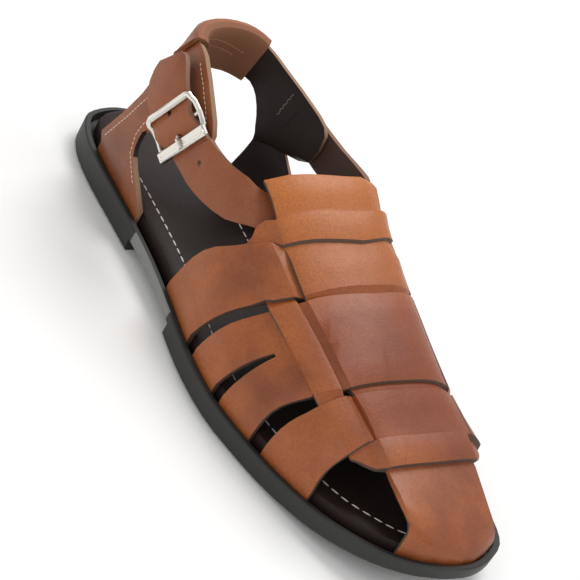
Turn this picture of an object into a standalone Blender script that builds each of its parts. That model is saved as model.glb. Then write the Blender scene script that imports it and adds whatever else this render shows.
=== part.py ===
"""Fisherman sandal, right shoe, in metres, +Z up, toe towards -Y, lateral side towards -X.

The origin is on the floor under the middle of the sandal. Every size is named below, and the tables
hold shares of those sizes, one row for each section, fold or edge.
"""

import math

import bmesh
import bpy
import numpy as np
from mathutils import Matrix, Vector

# Overall sizes of the sandal
LENGTH = 0.300
BALL_WIDTH = 0.1057
INSTEP_HEIGHT = 0.058
COLLAR_HEIGHT = 0.0965
TOE_SPRING = 0.0144
SPRING_START = 0.72

# Outsole
HEEL_WALL = 0.0129
LIP_WIDTH = 0.003
LIP_DEPTH = 0.0045
EDGE_ROUND = 0.0012
WALL_LEAN = 0.8
WAIST_STEP = 0.0030
WAIST_FACET = 0.0075
WAIST_FACET_RISE = 0.0035
GROOVE_WIDTH = 0.0030
GROOVE_DEPTH = 0.0018
GROOVE_INSET = 0.0090
GROOVE_PITCH = 0.0125

# Footbed
FOOTBED_RISE = 0.0039
RIM_RADIUS = 0.0030
RIM_BAND = 0.0088
DISH = 0.0010

# Leather and fittings
STRAP = 0.0024
GAP = 0.0004
STEP = 0.0004
SLEEVE_WALL = 0.0022

# The tread stops between these shares of the length, for the waist
HEEL_BREAST = 0.295
TREAD_START = 0.475
HEEL_GROOVES = (0.075, 0.255)
BALL_GROOVES = (0.52, 0.93)

SOLE_STATIONS = 46
SIDE_SAMPLES = 160
LEG_SAMPLES = 12
NORMAL_SPAN = (0.008, 0.0015)
MERGE = 1e-6

# Sole outline: share of the length from the heel, then lateral and medial shares of the ball width
OUTLINE = (
    # along, lateral, medial
    (0.010, 0.134, 0.130),
    (0.030, 0.212, 0.208),
    (0.080, 0.282, 0.290),
    (0.150, 0.322, 0.330),
    (0.250, 0.349, 0.343),
    (0.350, 0.380, 0.312),
    (0.450, 0.435, 0.292),
    (0.550, 0.500, 0.340),
    (0.640, 0.522, 0.416),
    (0.720, 0.492, 0.459),
    (0.800, 0.446, 0.478),
    (0.880, 0.377, 0.455),
    (0.950, 0.258, 0.352),
    (0.985, 0.128, 0.205),
)
TOE_TIP_SIDE = 0.045

# Side wall of the sole: its height as a share of the heel wall
WALL = (
    # along, height
    (0.00, 1.000),
    (0.20, 1.000),
    (0.35, 0.895),
    (0.50, 0.800),
    (0.75, 0.736),
    (1.00, 0.736),
)

# Last sections under the vamp. Height is a share of the instep height above the footbed, ridge and
# bulge are shares of the ball width, and the last two columns say how full each side is.
SECTIONS = (
    # along, height, ridge, medial bulge, lateral fullness, medial fullness
    (0.38, 1.240, 0.135, 0.150, 2.8, 4.0),
    (0.44, 1.155, 0.135, 0.150, 2.8, 4.0),
    (0.50, 1.000, 0.130, 0.140, 2.3, 3.1),
    (0.55, 0.900, 0.095, 0.118, 2.1, 3.0),
    (0.60, 0.805, 0.062, 0.085, 1.95, 2.9),
    (0.67, 0.708, 0.052, 0.045, 2.1, 2.4),
    (0.76, 0.552, 0.040, 0.000, 2.5, 2.35),
    (0.80, 0.462, 0.038, 0.000, 2.8, 2.6),
    (0.84, 0.360, 0.038, 0.000, 3.0, 3.0),
    (0.88, 0.282, 0.038, 0.000, 3.0, 3.0),
    (0.95, 0.150, 0.038, 0.000, 3.0, 3.0),
)
BULGE_BLEND = 0.5

# Where the long strips lie, as shares of the ball width across
LONG_EDGES = (
    # along, wide strip lateral, wide strip medial, side strip inner edge, side strip outer edge
    (0.44, -0.218, 0.312, -0.248, -0.302),
    (0.50, -0.214, 0.312, -0.245, -0.306),
    (0.55, -0.215, 0.305, -0.243, -0.322),
    (0.62, -0.217, 0.295, -0.246, -0.330),
    (0.74, -0.213, 0.285, -0.242, -0.330),
    (0.82, -0.189, 0.275, -0.226, -0.302),
    (0.86, -0.182, 0.270, -0.222, -0.290),
    (0.95, -0.216, 0.255, -0.236, -0.290),
)

# Edges that run across the foot, as shares of the length, from the ridge down to the sole
CROSS_EDGES = {
    # name: ridge, wide strip, side strip inner, middle, outer, half way down, sole
    "band_front": (0.8610, 0.8585, 0.8540, 0.8430, 0.8290, 0.829, 0.830),
    "band_rear": (0.8185, 0.8170, 0.8190, 0.8220, 0.8250, 0.826, 0.828),
    "toe_strap_front": (0.8170, 0.8155, 0.8175, 0.8205, 0.8235, 0.8245, 0.827),
    "toe_strap_rear": (0.757, 0.754, 0.752, 0.7515, 0.7500, 0.741, 0.737),
    "mid_strap_front": (0.7460, 0.7440, 0.7420, 0.7380, 0.733, 0.716, 0.712),
    "slit_front": (0.682, 0.677, 0.672, 0.667, 0.660, 0.651, 0.642),
    "slit_rear": (0.680, 0.675, 0.670, 0.665, 0.658, 0.638, 0.621),
    "mid_strap_rear": (0.6165, 0.6060, 0.6020, 0.5975, 0.592, 0.569, 0.552),
    "rear_strap_front": (0.604, 0.599, 0.594, 0.588, 0.578, 0.551, 0.527),
    "rear_strap_rear": (0.540, 0.522, 0.508, 0.500, 0.4905, 0.443, 0.418),
    "top_band_front": (0.537, 0.519, 0.505, 0.497, 0.4885, 0.442, 0.417),
    "top_band_rear": (0.494, 0.481, 0.475, 0.477, 0.4860, 0.440, 0.416),
}

# The rows of the vamp, toe to heel: two edges, how far between them, and a step in front or behind
ROWS = (
    # edge, edge towards the heel, way between, step
    ("band_front", "band_front", 0.0, 0),
    ("band_rear", "band_rear", 0.0, 0),
    ("toe_strap_front", "toe_strap_front", 0.0, 0),
    ("toe_strap_front", "toe_strap_rear", 0.5, 0),
    ("toe_strap_rear", "toe_strap_rear", 0.0, 1),
    ("toe_strap_rear", "toe_strap_rear", 0.0, -1),
    ("mid_strap_front", "mid_strap_front", 0.0, 1),
    ("mid_strap_front", "mid_strap_front", 0.0, -1),
    ("mid_strap_front", "slit_front", 0.5, 0),
    ("slit_front", "slit_front", 0.0, 0),
    ("slit_rear", "slit_rear", 0.0, 0),
    ("slit_rear", "mid_strap_rear", 0.5, 0),
    ("mid_strap_rear", "mid_strap_rear", 0.0, 1),
    ("mid_strap_rear", "mid_strap_rear", 0.0, -1),
    ("rear_strap_front", "rear_strap_front", 0.0, 1),
    ("rear_strap_front", "rear_strap_front", 0.0, -1),
    ("rear_strap_front", "rear_strap_rear", 0.33, 0),
    ("rear_strap_front", "rear_strap_rear", 0.67, 0),
    ("rear_strap_rear", "rear_strap_rear", 0.0, 0),
    ("top_band_front", "top_band_front", 0.0, 0),
    ("top_band_front", "top_band_rear", 0.5, 0),
    ("top_band_rear", "top_band_rear", 0.0, 0),
)

# How high each strip lies, in strap thicknesses. Cross strips go by column from the ridge to the slot
# and long strips go by row from the toe to the heel. The first and last places say what it covers.
OVER_SIDES = (1, 1, 1, 1.15, 1.8, 2, 2, 2, 1.9, 1.15, 1, 1, 1, 1)
OVER_MIDDLE = (2, 2, 2, 1.75, 1.15, 1, 1, 1, 1, 1, 1, 1, 1, 1)
BANDS = (2, 2, 2, 1.7, 1.1, 1, 1, 1)
WIDE_STRIP = (1, 1.1, 1.6, 2, 1.9, 1.75, 1.2, 1, 1, 1, 1, 1, 1, 1.15, 1.8, 2, 2, 2, 1.3, 1, 1, 1)
SIDE_STRIP = (1, 1, 1, 1, 1, 1.15, 1.85, 2, 2, 2, 2, 2, 2, 1.85, 1.15, 1, 1, 1, 1, 1, 1, 1)
CROSS_STRIPS = (
    # first row, last row, levels
    (0, 1, BANDS),
    (2, 4, OVER_SIDES),
    (7, 12, OVER_MIDDLE),
    (15, 18, OVER_SIDES),
    (19, 21, BANDS),
)
LONG_STRIPS = (
    # first column, last column, levels
    (0, 2, WIDE_STRIP),
    (5, 7, SIDE_STRIP),
)
LAPS = ((1, 2), (18, 19))
LAP_COLUMNS = 7
SLIT_ROWS = (9, 10)
SLIT_COLUMN = 9
WING_SHARES = (0.18, 0.45, 0.75, 1.0)
# Columns of the weave from the ridge to the slot, with more between them where the strips curve
WEAVE_COLUMNS = (
    *(0, 0.33, 0.67, 1, 1.33, 1.67, 2, 3, 4, 5, 5.5, 6, 6.5, 7, 8),
    *(8.5, 9, 9.5, 10, 10.5, 11, 11.5, 12, 13),
)
# Where each of the columns 0 to 13 stands along a cross edge: ridge 0, strip edges 1 to 4, sole 6
EDGE_PLACES = (0, 0.5, 1, 1, 2, 2, 3, 4, 4, *(4 + 2 * share for share in WING_SHARES), 6)
EDGE_STEPS = 4
# The most that the side strip's outer and inner edges take of the way to the sole
STRIP_REACH = 0.72
STRIP_INNER_REACH = 0.8

# Wide strip in front of the toe band: distance behind the tuck line as a share of the length, then
# the height at its lateral edge, middle and medial edge as shares of the instep height
TOE_FOLD = (
    # behind, lateral, middle, medial
    (0.042, 0.622, 0.535, 0.522),
    (0.020, 0.590, 0.484, 0.474),
    (0.007, 0.545, 0.435, 0.428),
    (0.001, 0.480, 0.385, 0.375),
)
TOE_END = 0.9
TOE_ROOT = 0.847
TOE_CLEAR = 0.866
TOE_BURIED = (0.85, 0.25)
TOE_ACROSS = (0.0, 0.17, 0.33, 0.5, 0.67, 0.83, 1.0)
TOE_WIDTHS_AT = 0.95

# Loop of the wide strip at the instep: shares of the length at its lateral edge, middle and medial
# edge, then the height of its middle above the last in strap thicknesses
LOOP = (
    # lateral, middle, medial, height
    (0.499, 0.514, 0.500, 0.62),
    (0.470, 0.486, 0.474, 0.62),
    (0.455, 0.471, 0.463, 0.62),
    (0.434, 0.450, 0.448, 0.62),
    (0.4280, 0.4440, 0.4420, 0.22),
    (0.4245, 0.4405, 0.4385, -1.02),
    (0.4280, 0.4440, 0.4420, -2.26),
    (0.434, 0.450, 0.448, -2.82),
    (0.465, 0.480, 0.473, -2.82),
    (0.498, 0.514, 0.502, -2.82),
    (0.507, 0.524, 0.510, -1.00),
    (0.511, 0.528, 0.512, 0.40),
)
LOOP_ACROSS = (0.0, 0.17, 0.33, 0.5, 0.67, 0.83, 1.0)

# Quarter, from the lateral slot round the heel to the medial slot. Each row has a rear or lower point
# and a front or upper point: across as a share of the ball width, along, height of the collar height
LATERAL_LEG = (0.110, 0.273)
MEDIAL_LEG = (0.170, 0.335)
QUARTER = (
    # across, along, height, across, along, height
    (-0.302, 0.112, 0.250, -0.342, 0.248, 0.262),
    (-0.300, 0.125, 0.342, -0.334, 0.212, 0.342),
    (-0.297, 0.136, 0.425, -0.325, 0.201, 0.420),
    (-0.294, 0.145, 0.508, -0.322, 0.208, 0.492),
    (-0.291, 0.151, 0.570, -0.322, 0.262, 0.515),
    (-0.289, 0.154, 0.622, -0.317, 0.310, 0.560),
    (-0.288, 0.158, 0.674, -0.314, 0.328, 0.655),
    (-0.286, 0.163, 0.736, -0.311, 0.328, 0.762),
    (-0.283, 0.171, 0.800, -0.308, 0.296, 0.855),
    (-0.278, 0.184, 0.862, -0.284, 0.228, 0.972),
    (-0.254, 0.168, 0.822, -0.256, 0.194, 0.972),
    (-0.196, 0.151, 0.778, -0.203, 0.166, 0.964),
    (-0.105, 0.126, 0.736, -0.110, 0.141, 0.952),
    (0.015, 0.114, 0.714, 0.015, 0.127, 0.940),
    (0.130, 0.116, 0.705, 0.130, 0.129, 0.930),
    (0.205, 0.128, 0.695, 0.210, 0.139, 0.908),
    (0.260, 0.146, 0.680, 0.274, 0.158, 0.873),
    (0.284, 0.166, 0.638, 0.302, 0.182, 0.850),
    (0.297, 0.184, 0.565, 0.352, 0.280, 0.798),
    (0.301, 0.191, 0.520, 0.366, 0.307, 0.745),
    (0.304, 0.196, 0.490, 0.376, 0.300, 0.580),
    (0.305, 0.197, 0.462, 0.368, 0.250, 0.528),
    (0.306, 0.196, 0.435, 0.366, 0.247, 0.508),
    (0.307, 0.194, 0.385, 0.370, 0.280, 0.445),
    (0.307, 0.190, 0.330, 0.373, 0.300, 0.365),
    (0.306, 0.184, 0.255, 0.368, 0.320, 0.265),
)
QUARTER_ACROSS = (0.0, 0.33, 0.67, 1.0)
QUARTER_STEPS = 2
SLEEVE_ROWS = (10.0, 15.5)
SLEEVE_EDGE = 0.0024
SLEEVE_ROUND = 0.7

# Ankle strap: medial rows, rows under the loop, then lateral rows and the tail
STRAP_MEDIAL = (
    # across, along, height, across, along, height: lower edge, upper edge
    (0.350, 0.208, 0.635, 0.352, 0.222, 0.775),
    (0.380, 0.250, 0.590, 0.378, 0.262, 0.768),
    (0.405, 0.293, 0.556, 0.398, 0.304, 0.752),
    (0.405, 0.322, 0.552, 0.390, 0.346, 0.757),
    (0.396, 0.358, 0.562, 0.362, 0.382, 0.783),
    (0.378, 0.405, 0.592, 0.342, 0.414, 0.800),
    (0.356, 0.448, 0.635, 0.326, 0.433, 0.805),
)
STRAP_UNDER_LOOP = (
    # across, lower edge along, upper edge along
    (0.300, 0.496, 0.450),
    (0.215, 0.504, 0.4525),
    (0.115, 0.509, 0.4525),
    (0.000, 0.5075, 0.4510),
    (-0.115, 0.501, 0.4450),
    (-0.220, 0.492, 0.4370),
)
STRAP_LATERAL = (
    (-0.290, 0.466, 0.617, -0.262, 0.413, 0.748),
    (-0.322, 0.430, 0.556, -0.292, 0.384, 0.738),
    (-0.345, 0.384, 0.530, -0.325, 0.357, 0.752),
    (-0.354, 0.345, 0.526, -0.345, 0.337, 0.768),
)
STRAP_TAIL = (
    (-0.383, 0.198, 0.655, -0.368, 0.242, 0.893),
    (-0.371, 0.183, 0.712, -0.358, 0.228, 0.925),
    (-0.361, 0.177, 0.765, -0.351, 0.216, 0.942),
    (-0.356, 0.177, 0.812, -0.349, 0.206, 0.935),
)

# Buckle: its middle, how it is turned, and its outer size
BUCKLE_CENTRE = (-0.374, 0.2767, 0.679)
BUCKLE_YAW = math.radians(9.0)
BUCKLE_PITCH = math.radians(25.6)
BUCKLE_LENGTH = 0.0212
BUCKLE_WIDTH = 0.0306
BUCKLE_CORNER = 0.0022
BUCKLE_BOW = 0.0020
SIDE_BAR = 0.0009
REAR_BAR = 0.0013
FRONT_BAR_WIDTH = 0.0048
FRONT_BAR_HEIGHT = 0.0020
CENTRE_BAR = 0.0010
HOLE_RADIUS = 0.0013
PRONG_RADIUS = 0.0008

# The strap through the buckle: way towards the tail as a share of the buckle's length, lower and upper
# edge as shares of its width, and height above its middle plane in strap thicknesses
STRAP_IN_BUCKLE = (
    # along, lower, upper, height
    (-0.560, -0.300, 0.440, -0.60),
    (-0.300, -0.355, 0.415, -0.62),
    (-0.150, -0.390, 0.385, 0.25),
    (0.000, -0.405, 0.365, 0.62),
    (0.230, -0.415, 0.355, 0.15),
    (0.430, -0.425, 0.375, -0.72),
    (0.600, -0.430, 0.405, -0.62),
)
# Holes: way along and across the strap from the buckle's middle
HOLES = ((-0.930, 0.190), (-0.225, 0.0), (0.325, -0.045))
# Prong: way along, height above the middle plane in strap thicknesses
PRONG = ((-0.085, -1.55), (-0.19, -1.55), (-0.225, -1.15), (-0.225, 0.55), (-0.27, 0.95), (-0.48, 0.93))

STRAP_ACROSS = (0.0, 0.5, 1.0)
# How far under the last's surface the strap passes, so that it clears the facets of the band above it
STRAP_SINK = 0.0023


def smooth(rows, steps, closed=False):
    """Points on a smooth curve through the rows, this many steps from one row to the next."""
    rows = np.asarray(rows, float)
    count = len(rows)
    spans = count if closed else count - 1
    result = []
    for index in range(spans):
        around = [index - 1, index, index + 1, index + 2]
        if closed:
            four = rows[[place % count for place in around]]
        else:
            four = rows[[min(max(place, 0), count - 1) for place in around]]
        gaps = np.sqrt(np.linalg.norm(np.diff(four, axis=0), axis=1)) + 1e-9
        start = (four[2] - four[0]) / (gaps[0] + gaps[1]) * gaps[1]
        end = (four[3] - four[1]) / (gaps[1] + gaps[2]) * gaps[1]
        for step in range(steps):
            way = step / steps
            result.append(
                (2 * way**3 - 3 * way**2 + 1) * four[1]
                + (way**3 - 2 * way**2 + way) * start
                + (3 * way**2 - 2 * way**3) * four[2]
                + (way**3 - way**2) * end
            )
    if not closed:
        result.append(rows[-1])
    return np.array(result)


def outline_curve():
    """Dense closed outline of the sole as (across, along) in metres, heel first, medial side first."""
    points = [(0.0, 0.0)]
    points += [(medial * BALL_WIDTH, along * LENGTH) for along, _, medial in OUTLINE]
    points += [(TOE_TIP_SIDE * BALL_WIDTH, LENGTH)]
    points += [(-lateral * BALL_WIDTH, along * LENGTH) for along, lateral, _ in reversed(OUTLINE)]
    return smooth(points, 12, closed=True)


CURVE = outline_curve()
TIP = int(np.argmax(CURVE[:, 1]))
SHIFT = -(CURVE[:, 0].max() + CURVE[:, 0].min()) / 2
MEDIAL_SIDE = CURVE[: TIP + 1]
LATERAL_SIDE = np.vstack([CURVE[TIP:], CURVE[:1]])[::-1]


def column(table, index):
    """One column of a table as a smooth function of the share along the length."""
    rows = smooth([(row[0], row[index]) for row in table], 8)
    return lambda along: float(np.interp(along, rows[:, 0], rows[:, 1]))


wall_share = column(WALL, 1)
height_share = column(SECTIONS, 1)
ridge_share = column(SECTIONS, 2)
bulge_share = column(SECTIONS, 3)
lateral_fullness = column(SECTIONS, 4)
medial_fullness = column(SECTIONS, 5)
wide_lateral = column(LONG_EDGES, 1)
wide_medial = column(LONG_EDGES, 2)
strip_inner = column(LONG_EDGES, 3)
strip_outer = column(LONG_EDGES, 4)


def half_width(side, along):
    """Width of the sole from the middle line to one side."""
    half = MEDIAL_SIDE if side > 0 else LATERAL_SIDE
    return side * float(np.interp(along * LENGTH, half[:, 1], half[:, 0]))


def bottom(along):
    return TOE_SPRING * max(0.0, (along - SPRING_START) / (1 - SPRING_START)) ** 2


def wall_top(along):
    return HEEL_WALL * wall_share(along) + WALL_LEAN * bottom(along)


def footbed_top(along):
    return wall_top(along) + FOOTBED_RISE


def slot_floor(along):
    return wall_top(along) - LIP_DEPTH + GAP


def place(across, along, height):
    """A point of the model from metres across, a share of the length and metres of height."""
    return np.array([across + SHIFT, LENGTH * (0.5 - along), height])


def from_shares(across, along, height):
    return place(across * BALL_WIDTH, along, height * COLLAR_HEIGHT)


def section(along):
    """The last's section from the lateral slot to the medial slot: distance from the ridge, across, up."""
    ridge = ridge_share(along) * BALL_WIDTH
    rise = height_share(along) * INSTEP_HEIGHT
    turn = np.linspace(0.0, math.pi / 2, SIDE_SAMPLES)
    halves = {}
    for side, fullness in ((-1, lateral_fullness(along)), (1, medial_fullness(along))):
        base = half_width(side, along) - LIP_WIDTH - GAP - STRAP
        bulge = bulge_share(along) * BALL_WIDTH if side > 0 else 0.0
        reach = base + bulge - side * ridge
        up = rise * np.cos(turn) ** (2 / fullness)
        up[-1] = 0.0
        blend = np.clip(up / (BULGE_BLEND * rise), 0.0, 1.0)
        blend = blend * blend * (3 - 2 * blend)
        out = side * ridge + reach * np.sin(turn) ** (2 / fullness) - bulge * (1 - blend)
        leg = np.linspace(0.0, -(FOOTBED_RISE + LIP_DEPTH - GAP), LEG_SAMPLES)[1:]
        out = np.concatenate([out, np.full(len(leg), base)])
        up = np.concatenate([up, leg])
        run = np.concatenate([[0.0], np.cumsum(np.hypot(np.diff(out), np.diff(up)))])
        halves[side] = (run, side * out, up)
    medial, lateral = halves[1], halves[-1]
    return (
        np.concatenate([-lateral[0][::-1], medial[0][1:]]),
        np.concatenate([lateral[1][::-1], medial[1][1:]]),
        np.concatenate([lateral[2][::-1], medial[2][1:]]),
    )


SECTION_CACHE = {}


def cached_section(along):
    key = round(along, 6)
    if key not in SECTION_CACHE:
        SECTION_CACHE[key] = section(along)
    return SECTION_CACHE[key]


def on_last(along, run):
    """The point of the last at this share of the length and this distance from the ridge."""
    runs, across, up = cached_section(along)
    return place(
        float(np.interp(run, runs, across)),
        along,
        footbed_top(along) + float(np.interp(run, runs, up)),
    )


def run_at(along, across):
    """Distance from the ridge to the point this far across, on the upper part of the section."""
    runs, points, _ = cached_section(along)
    first, last = int(np.argmin(points)), int(np.argmax(points))
    return float(np.interp(across, points[first : last + 1], runs[first : last + 1]))


def run_to_sole(along, side):
    runs = cached_section(along)[0]
    leg = FOOTBED_RISE + LIP_DEPTH - GAP
    return runs[-1] - leg if side > 0 else runs[0] + leg


def last_normal(along, run):
    """Outward direction of the last there."""
    runs = cached_section(along)[0]
    apart, near = NORMAL_SPAN
    run = min(max(run, runs[0] + near), runs[-1] - near)
    share = run / (runs[-1] if run > 0 else -runs[0])
    ends = []
    for other in (along - apart, along + apart):
        others = cached_section(other)[0]
        ends.append(on_last(other, share * (others[-1] if run > 0 else -others[0])))
    forward = ends[1] - ends[0]
    sideways = on_last(along, run + near) - on_last(along, run - near)
    normal = np.cross(forward, sideways)
    return normal / np.linalg.norm(normal)


def over_last(along, run, height):
    return on_last(along, run) + last_normal(along, run) * height


def edge_curve(shares):
    """A cross edge as a smooth curve, the same on both sides of the ridge."""
    places = list(enumerate(shares))
    return smooth([(-place, share) for place, share in places[:0:-1]] + places, EDGE_STEPS)


EDGE_CURVES = {name: edge_curve(shares) for name, shares in CROSS_EDGES.items()}


def edge_share(name, position):
    """Share of the length where a cross edge meets a column, or a place between two columns."""
    place_along_edge = np.interp(position, range(len(EDGE_PLACES)), EDGE_PLACES)
    curve = EDGE_CURVES[name]
    return float(np.interp(place_along_edge, curve[:, 0], curve[:, 1]))


def weave_point(row, position, side):
    """Where a row of the vamp meets a column: share of the length, distance from the ridge."""
    front, rear, way, step = ROWS[row]
    along = (1 - way) * edge_share(front, position) + way * edge_share(rear, position)
    along += step * STEP / 2 / LENGTH
    wide = abs(run_at(along, (wide_lateral if side < 0 else wide_medial)(along) * BALL_WIDTH))
    lateral_wide = run_at(along, wide_lateral(along) * BALL_WIDTH)
    inner = lateral_wide - run_at(along, strip_inner(along) * BALL_WIDTH)
    outer = lateral_wide - run_at(along, strip_outer(along) * BALL_WIDTH)
    sole = abs(run_to_sole(along, side))
    outer = min(outer, STRIP_REACH * (sole - wide))
    inner = min(inner, STRIP_INNER_REACH * outer)
    half = STEP / 2
    runs = [0.0, wide / 2, wide - half, wide + half, wide + inner - half, wide + inner + half]
    runs += [wide + (inner + outer) / 2, wide + outer - half, wide + outer + half]
    strip_end = runs[-1]
    runs += [strip_end + share * (sole - strip_end) for share in WING_SHARES]
    runs.append(sole + FOOTBED_RISE + LIP_DEPTH - GAP)
    return along, side * float(np.interp(position, range(len(runs)), runs))


def weave_level(row, column_index):
    """Height of the upper face there in strap thicknesses."""
    levels = [1.0]
    for first, last, profile in CROSS_STRIPS:
        if first <= row <= last and column_index < len(profile):
            levels.append(profile[column_index])
    for first, last, profile in LONG_STRIPS:
        if first <= column_index <= last:
            levels.append(profile[row])
    return max(levels)


def woven(row, column_index):
    """Whether leather fills the cell between this row and column and the next ones."""
    if row == SLIT_ROWS[0] and column_index >= SLIT_COLUMN:
        return False
    for first, last, profile in CROSS_STRIPS:
        if first <= row < last and column_index < len(profile) - 1:
            return True
    for first, last, _ in LONG_STRIPS:
        if first <= column_index < last:
            return True
    return (row, row + 1) in LAPS and column_index < LAP_COLUMNS


def mesh_object(name, build, collection):
    """An object whose mesh the given function fills, with its normals facing out."""
    mesh = bpy.data.meshes.new(name)
    work = bmesh.new()
    build(work)
    bmesh.ops.remove_doubles(work, verts=work.verts, dist=MERGE)
    bmesh.ops.recalc_face_normals(work, faces=work.faces)
    work.to_mesh(mesh)
    work.free()
    obj = bpy.data.objects.new(name, mesh)
    collection.objects.link(obj)
    return obj


def shell(work, outer, inner, filled):
    """A closed wall between two grids of points, with side faces round every edge and opening."""
    count, width = len(outer), len(outer[0])
    cells = [(i, j) for i in range(count - 1) for j in range(width - 1) if filled(i, j)]
    used = {(i + a, j + b) for i, j in cells for a in (0, 1) for b in (0, 1)}
    top = {key: work.verts.new(outer[key[0]][key[1]]) for key in used}
    under = {key: work.verts.new(inner[key[0]][key[1]]) for key in used}
    edges = {}
    for i, j in cells:
        corners = [(i, j), (i + 1, j), (i + 1, j + 1), (i, j + 1)]
        work.faces.new([top[key] for key in corners])
        work.faces.new([under[key] for key in reversed(corners)])
        for start, end in zip(corners, corners[1:] + corners[:1]):
            if (end, start) in edges:
                del edges[(end, start)]
            else:
                edges[(start, end)] = True
    for start, end in edges:
        work.faces.new([top[end], top[start], under[start], under[end]])


def everywhere(row, column_index):
    return True


def face_normals(points):
    """Unit normals of a grid of points."""
    points = np.asarray(points)
    down = np.gradient(points, axis=0)
    across = np.gradient(points, axis=1)
    normals = np.cross(down, across)
    return normals / np.linalg.norm(normals, axis=2, keepdims=True)


def ribbon(work, outer, thickness):
    """A strip of even thickness whose outer face is the grid of points."""
    outer = np.asarray(outer)
    shell(work, outer, outer - face_normals(outer) * thickness, everywhere)


def between(first, last, shares):
    return [first + (last - first) * share for share in shares]


def weave_spot(row, position, side):
    """The share of the length, distance from the ridge and level where a row meets a column."""
    column_index = min(int(position), len(EDGE_PLACES) - 2)
    levels = [weave_level(row, column_index + step) for step in (0, 1)]
    along, run = weave_point(row, position, side)
    return along, run, levels[0] + (position - column_index) * (levels[1] - levels[0])


def build_weave(work):
    """The woven straps as one wall with the upper strips raised."""
    columns = [(-1, position) for position in WEAVE_COLUMNS[:0:-1]]
    columns += [(1, position) for position in WEAVE_COLUMNS]
    outer, inner = [], []
    for row in range(len(ROWS)):
        spots = [weave_spot(row, position, side) for side, position in columns]
        outer.append([over_last(along, run, STRAP * level) for along, run, level in spots])
        inner.append([on_last(along, run) for along, run, _ in spots])

    def filled(row, place_index):
        return woven(row, int(min(columns[place_index][1], columns[place_index + 1][1])))

    shell(work, outer, inner, filled)


def tuck_line(across):
    """Share of the length where the toe outline, less the lip, is this far across."""
    ring = inset_ring(LIP_WIDTH + GAP)
    front = ring[ring[:, 1] > TOE_END * LENGTH]
    order = np.argsort(front[:, 0])
    return float(np.interp(across, front[order, 0], front[order, 1])) / LENGTH


def wide_strip(along, shares, inset=0.0):
    """Places across the wide strip in metres, from its lateral to its medial edge."""
    first = wide_lateral(along) * BALL_WIDTH + inset
    last = wide_medial(along) * BALL_WIDTH - inset
    return between(first, last, shares)


def through(values, share):
    """Value of the parabola through three values at the shares 0, a half and 1."""
    first, middle, last = values
    ends = first * (1 - share) * (1 - 2 * share) + last * share * (2 * share - 1)
    return ends + 4 * middle * share * (1 - share)


def build_toe(work):
    """The wide strip from under the toe band down into the slot at the toe."""
    grid = []
    for along, level in ((TOE_ROOT, TOE_BURIED[0]), (TOE_CLEAR, 1.0)):
        strip = wide_strip(along, TOE_ACROSS)
        grid.append([over_last(along, run_at(along, x), STRAP * level) for x in strip])
    strip = wide_strip(TOE_WIDTHS_AT, TOE_ACROSS)
    for behind, *heights in TOE_FOLD:
        grid.append(
            [
                place(x, tuck_line(x) - behind, through(heights, share) * INSTEP_HEIGHT)
                for x, share in zip(strip, TOE_ACROSS)
            ]
        )
    grid.append([place(x, tuck_line(x), wall_top(tuck_line(x)) + EDGE_ROUND) for x in strip])
    grid.append([place(x, tuck_line(x), slot_floor(tuck_line(x))) for x in strip])
    grid = np.array(grid)
    inner = grid - face_normals(grid) * STRAP
    root = [run_at(TOE_ROOT, x) for x in wide_strip(TOE_ROOT, TOE_ACROSS)]
    inner[0] = [over_last(TOE_ROOT, run, STRAP * TOE_BURIED[1]) for run in root]
    shell(work, grid, inner, everywhere)


def build_loop(work):
    """The end of the wide strip, folded back under the top band to carry the ankle strap."""
    middle = []
    for *edges, level in LOOP:
        row = []
        for share in LOOP_ACROSS:
            along = through(edges, share)
            across = wide_strip(along, (share,), STEP)[0]
            row.append(over_last(along, run_at(along, across), STRAP * level))
        middle.append(row)
    middle = np.array(middle)
    half = face_normals(middle) * STRAP / 2
    shell(work, middle + half, middle - half, everywhere)


def inset_ring(inset):
    """The outline moved inwards by this much, as dense (across, along) in metres."""
    ahead = np.roll(CURVE, -1, axis=0)
    behind = np.roll(CURVE, 1, axis=0)
    tangent = ahead - behind
    tangent /= np.linalg.norm(tangent, axis=1, keepdims=True)
    return CURVE + np.column_stack([-tangent[:, 1], tangent[:, 0]]) * inset


def stations(count):
    """Shares of a length, close together at both ends."""
    return [(1 - math.cos(math.pi * index / count)) / 2 for index in range(1, count)]


def ring_points(inset, height):
    """One ring round the sole: heel, medial side, toe, lateral side. Height is a function of along."""
    ring = inset_ring(inset)
    tip, heel = int(np.argmax(ring[:, 1])), int(np.argmin(ring[:, 1]))
    medial = ring[heel : tip + 1] if heel < tip else np.vstack([ring[heel:], ring[: tip + 1]])
    lateral = np.vstack([ring[tip:], ring[: heel + 1]])[::-1] if heel < tip else ring[tip : heel + 1][::-1]
    low, high = ring[heel, 1], ring[tip, 1]
    along = [low + share * (high - low) for share in stations(SOLE_STATIONS)]
    sides = [np.interp(along, half[:, 1], half[:, 0]) for half in (medial, lateral)]
    points = [(ring[heel, 0], low)] + list(zip(sides[0], along))
    points += [(ring[tip, 0], high)] + list(zip(sides[1], along))[::-1]
    return [place(x, y / LENGTH, height(y / LENGTH)) for x, y in points]


def loft(work, rings, first_cap=True, last_cap=True):
    """Walls between rings, and caps made of strips from one side of the ring to the other."""
    loops = [[work.verts.new(point) for point in ring] for ring in rings]
    count = len(loops[0])
    for lower, upper in zip(loops, loops[1:]):
        for index in range(count):
            after = (index + 1) % count
            work.faces.new([lower[index], lower[after], upper[after], upper[index]])
    for wanted, loop in ((first_cap, loops[0]), (last_cap, loops[-1])):
        if not wanted:
            continue
        for index in range(count // 2):
            ends = [loop[index], loop[index + 1], loop[-index - 1], loop[-index]]
            if index == 0:
                ends = [loop[0], loop[1], loop[-1]]
            if index == count // 2 - 1:
                ends = [loop[index], loop[index + 1], loop[-index]]
            work.faces.new(ends)


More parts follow.
